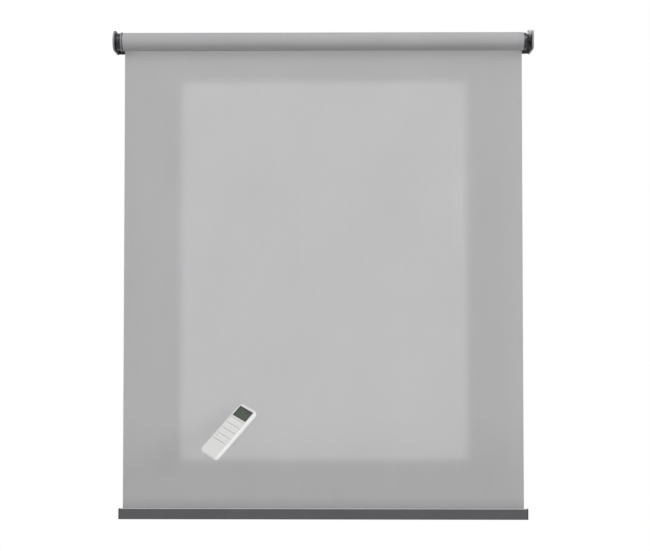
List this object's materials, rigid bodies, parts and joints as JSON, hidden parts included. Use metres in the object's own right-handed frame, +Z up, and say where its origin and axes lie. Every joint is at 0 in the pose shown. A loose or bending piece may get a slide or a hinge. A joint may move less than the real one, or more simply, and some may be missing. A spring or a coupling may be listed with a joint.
{
  "type": "motorized roller blind",
  "caption": "Roller blind of light grey screen cloth on a tube with a battery motor inside, slim wall brackets, a grey bottom bar and a wireless hand control held in front.",
  "frame": {"origin": "middle of the four wall screw holes, on the wall plane", "axes": "+X to the right along the roller, +Y into the wall, +Z up; the viewer is on the -Y side"},
  "size_m": [1.001, 0.1161, 1.1786],
  "materials": {
    "bracket_steel": "dark zinc powder coat",
    "cover_grey": "silver grey, smooth",
    "head_black": "black, fine grain",
    "ring_grey": "light grey",
    "plug_dark": "dark violet grey",
    "bearing_plastic": "natural white, low friction",
    "zinc_steel": "zinc plated",
    "spring_steel": "drawn wire",
    "aluminium_raw": "mill finish",
    "bar_grey": "grey powder coat on an aluminium extrusion",
    "bar_cap_grey": "dark grey",
    "cloth": "plain weave screen cloth, light grey",
    "tape": "clear adhesive strip",
    "gear_brass": "machined",
    "board_green": "solder mask",
    "chip_black": "moulded package",
    "cell_wrap": "shrink wrap",
    "copper": "enamelled wire on laminations",
    "magnet": "ferrite",
    "case_white": "fine grained, very light grey",
    "key_white": "sparkle grained, very light grey",
    "screen_clear": "clear window",
    "lcd": "grey green display",
    "mat_rubber": "silicone",
    "lamp_clear": "milky light pipe"
  },
  "bodies": {
    "mounting": {"left_bracket": "bracket_steel", "right_bracket": "bracket_steel", "left_cover": "cover_grey", "right_cover": "cover_grey", "motor_head": "head_black", "head_adapter": "zinc_steel", "adapter_screws": "zinc_steel", "head_board": "board_green", "charging_socket": "zinc_steel", "setting_switch": "chip_black", "charge_lamp": "lamp_clear", "motor_housing": "zinc_steel", "battery_sleeve": "head_black", "battery_cells": "cell_wrap", "battery_contacts": "zinc_steel", "control_board": "board_green", "board_chips": "chip_black", "motor_can": "zinc_steel", "motor_magnets": "magnet", "ring_gear": "zinc_steel", "output_bush": "bearing_plastic", "idler_bush": "bearing_plastic", "hanging_fabric": "cloth"},
    "roller": {"roller_tube": "aluminium_raw", "fabric_tape": "tape", "wound_fabric": "cloth", "crown_ring": "ring_grey", "planet_carrier": "zinc_steel", "drive_wheel": "plug_dark", "drive_clip": "spring_steel", "end_plug": "plug_dark", "end_disc": "plug_dark", "idler_spring": "spring_steel"},
    "rotor": {"motor_shaft": "spring_steel", "motor_armature": "copper", "sun_gear": "gear_brass"},
    "planet_1": {"planet_gear_1": "gear_brass"},
    "planet_2": {"planet_gear_2": "gear_brass"},
    "planet_3": {"planet_gear_3": "gear_brass"},
    "sprung_pin": {"idler_pin": "zinc_steel"},
    "setting_key": {"setting_button": "ring_grey"},
    "bar": {"bottom_bar": "bar_grey", "fabric_spline": "bearing_plastic", "left_bar_cap": "bar_cap_grey", "right_bar_cap": "bar_cap_grey"},
    "handset": {"handset_front_shell": "case_white", "handset_back_shell": "case_white", "handset_screws": "zinc_steel", "screen_window": "screen_clear", "screen_panel": "lcd", "keypad_mat": "mat_rubber", "handset_board": "board_green", "handset_cell": "zinc_steel", "cell_contact": "spring_steel"},
    "door": {"battery_door": "case_white"},
    "up_key": {"up_button": "key_white"},
    "stop_key": {"stop_button": "key_white"},
    "down_key": {"down_button": "key_white"},
    "back_key": {"channel_back_button": "key_white"},
    "next_key": {"channel_next_button": "key_white"}
  },
  "joints": [
    {"name": "bar_lift", "type": "slide", "parent": "mounting", "child": "bar", "axis": [0, 0, 1], "range_m": [0, 1.05], "deforming": ["hanging_fabric"]},
    {"name": "roller_turn", "type": "hinge", "parent": "mounting", "child": "roller", "pos_m": [0, -0.036, -0.005], "axis": [1, 0, 0], "range_deg": [0, 2600]},
    {"name": "rotor_turn", "type": "hinge", "parent": "mounting", "child": "rotor", "pos_m": [0, -0.036, -0.005], "axis": [1, 0, 0], "range_deg": [0, 11700]},
    {"name": "planet_1_turn", "type": "hinge", "parent": "roller", "child": "planet_1", "pos_m": [0, -0.036, 0.00108], "axis": [1, 0, 0], "range_deg": [-7300, 0]},
    {"name": "planet_2_turn", "type": "hinge", "parent": "roller", "child": "planet_2", "pos_m": [0, -0.04126, -0.00804], "axis": [1, 0, 0], "range_deg": [-7300, 0]},
    {"name": "planet_3_turn", "type": "hinge", "parent": "roller", "child": "planet_3", "pos_m": [0, -0.03074, -0.00804], "axis": [1, 0, 0], "range_deg": [-7300, 0]},
    {"name": "idler_press", "type": "slide", "parent": "roller", "child": "sprung_pin", "axis": [-1, 0, 0], "range_m": [0, 0.005], "stiffness_N_per_m": 1000, "springref_m": -0.006, "deforming": ["idler_spring"]},
    {"name": "setting_press", "type": "slide", "parent": "mounting", "child": "setting_key", "axis": [0, 1, 0], "range_m": [0, 0.0005], "stiffness_N_per_m": 500, "springref_m": -0.001},
    {"name": "handset_pick_up", "type": "slide", "parent": "mounting", "child": "handset", "axis": [0, -1, 0], "range_m": [0, 0.25]},
    {"name": "door_slide", "type": "slide", "parent": "handset", "child": "door", "axis": [-0.6101, -0.3798, -0.6953], "range_m": [0, 0.05]},
    {"name": "up_press", "type": "slide", "parent": "handset", "child": "up_key", "axis": [0.2247, 0.7586, -0.6115], "range_m": [0, 0.00045], "stiffness_N_per_m": 500, "springref_m": -0.001},
    {"name": "stop_press", "type": "slide", "parent": "handset", "child": "stop_key", "axis": [0.2247, 0.7586, -0.6115], "range_m": [0, 0.00045], "stiffness_N_per_m": 500, "springref_m": -0.001},
    {"name": "down_press", "type": "slide", "parent": "handset", "child": "down_key", "axis": [0.2247, 0.7586, -0.6115], "range_m": [0, 0.00045], "stiffness_N_per_m": 500, "springref_m": -0.001},
    {"name": "channel_back_press", "type": "slide", "parent": "handset", "child": "back_key", "axis": [0.2247, 0.7586, -0.6115], "range_m": [0, 0.00045], "stiffness_N_per_m": 500, "springref_m": -0.001},
    {"name": "channel_next_press", "type": "slide", "parent": "handset", "child": "next_key", "axis": [0.2247, 0.7586, -0.6115], "range_m": [0, 0.00045], "stiffness_N_per_m": 500, "springref_m": -0.001}
  ],
  "couplings": [
    {"joint": "roller_turn", "follows": "bar_lift", "rad_per_m": 43},
    {"joint": "rotor_turn", "follows": "bar_lift", "rad_per_m": 193.5},
    {"joint": "planet_1_turn", "follows": "bar_lift", "rad_per_m": -120.4},
    {"joint": "planet_2_turn", "follows": "bar_lift", "rad_per_m": -120.4},
    {"joint": "planet_3_turn", "follows": "bar_lift", "rad_per_m": -120.4}
  ]
}
